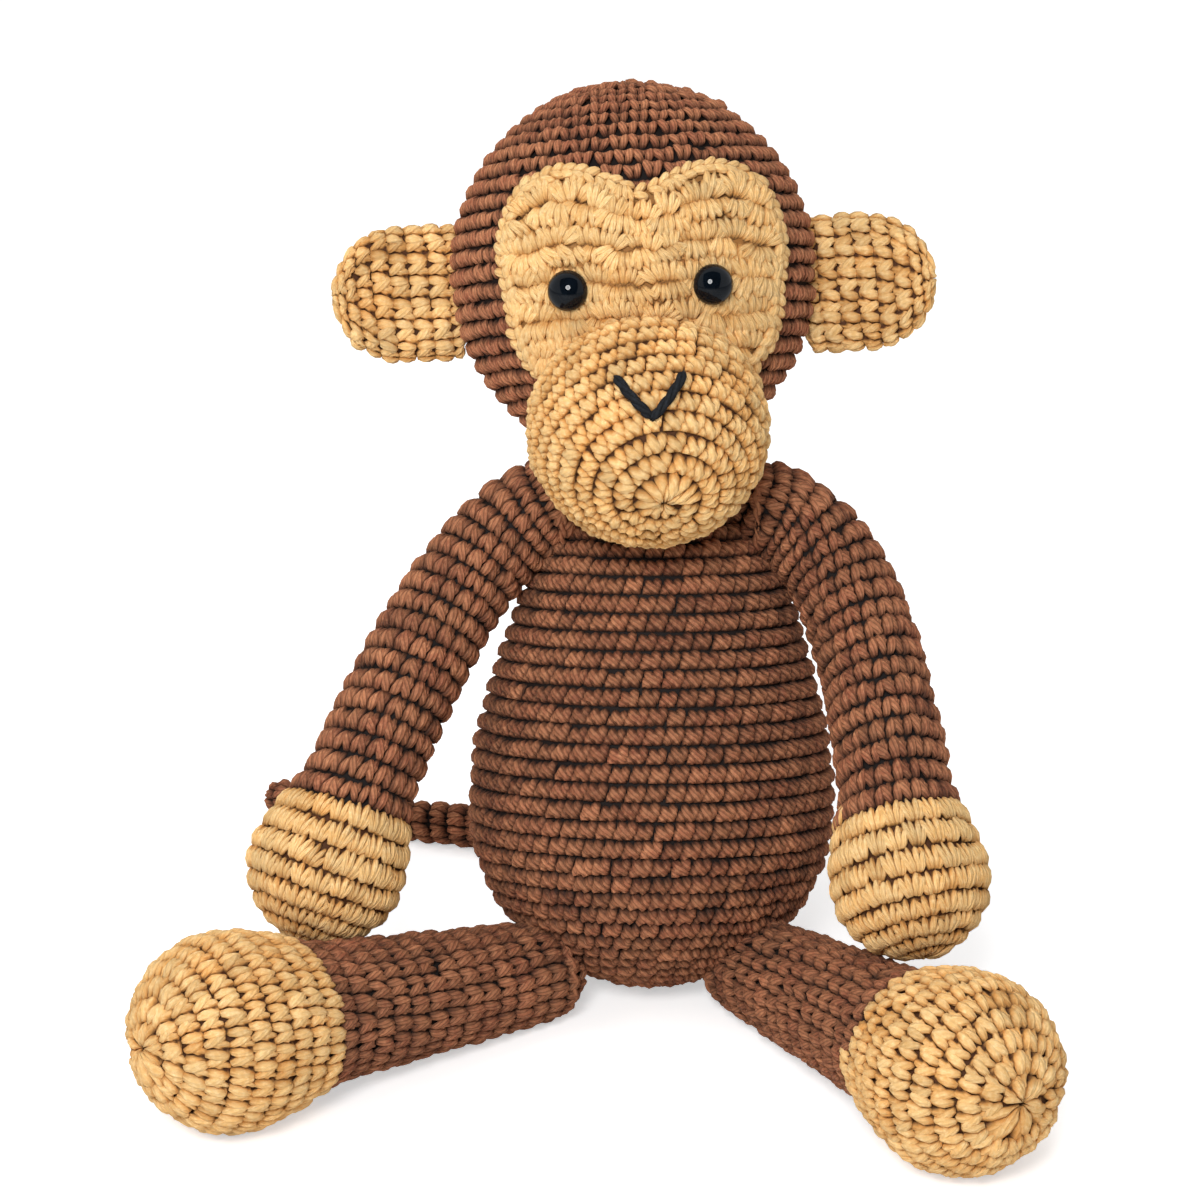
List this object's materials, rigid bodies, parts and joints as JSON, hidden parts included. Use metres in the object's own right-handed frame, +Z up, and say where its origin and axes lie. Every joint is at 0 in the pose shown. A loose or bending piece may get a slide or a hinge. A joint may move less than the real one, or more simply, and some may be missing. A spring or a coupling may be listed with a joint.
{
  "type": "crocheted monkey rattle",
  "caption": "Sitting crocheted monkey: a stuffed body with sewn-on head, ears, swinging arms and legs, a curling tail, and a rattle capsule with loose beads in its belly.",
  "frame": {"origin": "middle of the flat place under the body that the toy sits on", "axes": "+Z up, -Y the way it faces, +X its own left side"},
  "size_m": [0.2225, 0.2234, 0.2241],
  "materials": {
    "brown_yarn": "matt cotton yarn, crocheted",
    "tan_yarn": "matt cotton yarn, crocheted",
    "black_yarn": "matt cotton yarn, sewn",
    "stuffing": "loose white fibre filling",
    "black_plastic": "polished",
    "white_plastic": "moulded, satin",
    "bead": "moulded, glossy"
  },
  "bodies": {
    "torso": {"body_cover": "brown_yarn", "body_stuffing": "stuffing", "stuffing_plug": "stuffing", "rattle_shell_upper": "white_plastic", "rattle_shell_lower": "white_plastic"},
    "bead_1": {"rattle_bead_1": "bead"},
    "bead_2": {"rattle_bead_2": "bead"},
    "bead_3": {"rattle_bead_3": "bead"},
    "bead_4": {"rattle_bead_4": "bead"},
    "neck": {"neck_seam": "brown_yarn"},
    "head": {"head_cover": "brown_yarn", "head_stuffing": "stuffing", "face_patch": "tan_yarn", "muzzle_cover": "tan_yarn", "muzzle_stuffing": "stuffing", "eye_left": "black_plastic", "eye_right": "black_plastic", "eye_washer_left": "white_plastic", "eye_washer_right": "white_plastic", "nose_stitch_left": "black_yarn", "nose_stitch_right": "black_yarn"},
    "ear_left": {"ear_left": "tan_yarn"},
    "ear_right": {"ear_right": "tan_yarn"},
    "tail": {"tail_cover": "brown_yarn"},
    "shoulder_left": {"shoulder_seam_left": "brown_yarn"},
    "arm_left": {"arm_cover_left": "brown_yarn", "hand_cover_left": "tan_yarn", "arm_stuffing_left": "stuffing"},
    "shoulder_right": {"shoulder_seam_right": "brown_yarn"},
    "arm_right": {"arm_cover_right": "brown_yarn", "hand_cover_right": "tan_yarn", "arm_stuffing_right": "stuffing"},
    "hip_left": {"hip_seam_left": "brown_yarn"},
    "leg_left": {"leg_cover_left": "brown_yarn", "foot_cover_left": "tan_yarn", "leg_stuffing_left": "stuffing"},
    "hip_right": {"hip_seam_right": "brown_yarn"},
    "leg_right": {"leg_cover_right": "brown_yarn", "foot_cover_right": "tan_yarn", "leg_stuffing_right": "stuffing"}
  },
  "joints": [
    {"name": "neck_turn", "type": "hinge", "parent": "torso", "child": "neck", "pos_m": [-0.00468, 0.03971, 0.17599], "axis": [0.0244, 0.3089, 0.9508], "range_deg": [-10, 0], "stiffness_Nm_per_rad": 0.05},
    {"name": "head_nod", "type": "hinge", "parent": "neck", "child": "head", "pos_m": [-0.00468, 0.03971, 0.17599], "axis": [-1, 0, 0], "range_deg": [0, 20], "stiffness_Nm_per_rad": 0.05},
    {"name": "ear_left_bend", "type": "hinge", "parent": "head", "child": "ear_left", "pos_m": [0.04569, 0.03875, 0.17335], "axis": [-0.0436, 0.3417, 0.9388], "range_deg": [-15, 15], "stiffness_Nm_per_rad": 0.01},
    {"name": "ear_right_bend", "type": "hinge", "parent": "head", "child": "ear_right", "pos_m": [-0.0547, 0.03793, 0.17112], "axis": [-0.0436, 0.3417, 0.9388], "range_deg": [-15, 15], "stiffness_Nm_per_rad": 0.01},
    {"name": "arm_left_swing", "type": "hinge", "parent": "torso", "child": "shoulder_left", "pos_m": [0.03015, 0.0141, 0.12109], "axis": [-1, 0, 0], "range_deg": [0, 80]},
    {"name": "arm_left_spread", "type": "hinge", "parent": "shoulder_left", "child": "arm_left", "pos_m": [0.03015, 0.0141, 0.12109], "axis": [0, -1, 0], "range_deg": [0, 35]},
    {"name": "arm_right_swing", "type": "hinge", "parent": "torso", "child": "shoulder_right", "pos_m": [-0.02643, 0.01453, 0.1224], "axis": [-1, 0, 0], "range_deg": [0, 80]},
    {"name": "arm_right_spread", "type": "hinge", "parent": "shoulder_right", "child": "arm_right", "pos_m": [-0.02643, 0.01453, 0.1224], "axis": [0, 1, 0], "range_deg": [0, 35]},
    {"name": "leg_left_turn", "type": "hinge", "parent": "torso", "child": "hip_left", "pos_m": [0.0256, -0.0244, 0.0126], "axis": [0, 0, -1], "range_deg": [0, 30]},
    {"name": "leg_left_drop", "type": "hinge", "parent": "hip_left", "child": "leg_left", "pos_m": [0.0256, -0.0244, 0.0126], "axis": [-0.8572, -0.515, 0], "range_deg": [-60, 0]},
    {"name": "leg_right_turn", "type": "hinge", "parent": "torso", "child": "hip_right", "pos_m": [-0.0295, -0.0286, 0.0126], "axis": [0, 0, 1], "range_deg": [0, 30]},
    {"name": "leg_right_drop", "type": "hinge", "parent": "hip_right", "child": "leg_right", "pos_m": [-0.0295, -0.0286, 0.0126], "axis": [-0.5878, 0.809, 0], "range_deg": [-60, 0]},
    {"name": "tail_swing", "type": "hinge", "parent": "torso", "child": "tail", "pos_m": [-0.006, 0.04357, 0.022], "axis": [0, 0, 1], "range_deg": [-30, 30]},
    {"name": "bead_1_bounce", "type": "slide", "parent": "torso", "child": "bead_1", "axis": [0.0244, 0.3089, 0.9508], "range_m": [0, 0.008]},
    {"name": "bead_2_bounce", "type": "slide", "parent": "torso", "child": "bead_2", "axis": [0.0244, 0.3089, 0.9508], "range_m": [0, 0.008]},
    {"name": "bead_3_bounce", "type": "slide", "parent": "torso", "child": "bead_3", "axis": [0.0244, 0.3089, 0.9508], "range_m": [0, 0.008]},
    {"name": "bead_4_bounce", "type": "slide", "parent": "torso", "child": "bead_4", "axis": [0.0244, 0.3089, 0.9508], "range_m": [0, 0.008]}
  ]
}
